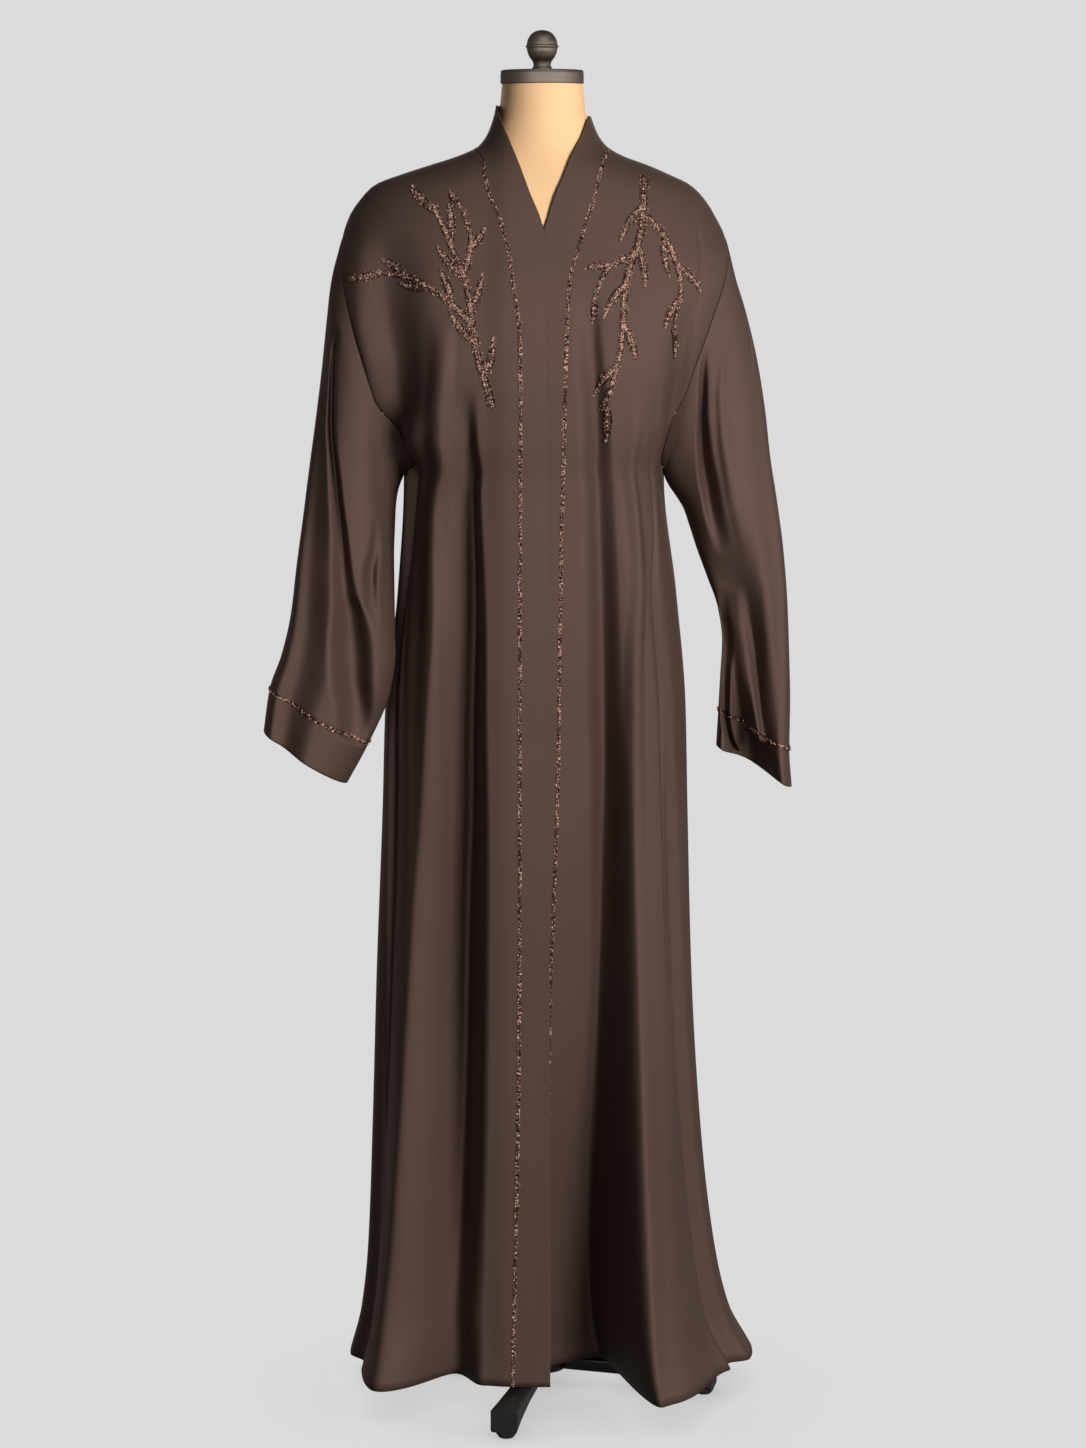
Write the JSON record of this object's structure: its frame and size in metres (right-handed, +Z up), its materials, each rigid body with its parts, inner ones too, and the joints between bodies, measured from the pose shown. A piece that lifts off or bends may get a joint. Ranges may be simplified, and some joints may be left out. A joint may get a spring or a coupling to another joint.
{
  "type": "abaya cloak on a limbless dress form stand",
  "caption": "Floor-length open-front abaya cloak in satin-backed crepe with banded front and cuffs, hanging on a limbless dress form with a capped neck and footed stand.",
  "frame": {"origin": "on the floor, at the middle of the bounding box's underside; the pole stands 15.7 mm towards +X", "axes": "+Z up, -Y the garment's front, +X the wearer's left"},
  "size_m": [0.6075, 0.413, 1.5875],
  "materials": {
    "abaya_cloth": "warm dark brown satin-backed crepe with a soft sheen",
    "form_skin": "smooth cream covering",
    "neck_metal": "brushed warm nickel",
    "stand_black": "semi-gloss black",
    "pad_rubber": "matt black"
  },
  "bodies": {
    "root": {"front_panel_right": "abaya_cloth", "front_panel_left": "abaya_cloth", "back_panel": "abaya_cloth", "sleeve_right": "abaya_cloth", "sleeve_left": "abaya_cloth", "cuff_right": "abaya_cloth", "cuff_left": "abaya_cloth", "front_band_right": "abaya_cloth", "front_band_left": "abaya_cloth", "form_body": "form_skin", "neck_cap": "neck_metal", "neck_knob": "neck_metal", "stand_pole": "stand_black", "stand_hub": "stand_black", "stand_leg_1": "stand_black", "stand_leg_2": "stand_black", "stand_leg_3": "stand_black", "stand_leg_4": "stand_black", "stand_pad_1": "pad_rubber", "stand_pad_2": "pad_rubber", "stand_pad_3": "pad_rubber", "stand_pad_4": "pad_rubber"}
  },
  "joints": []
}
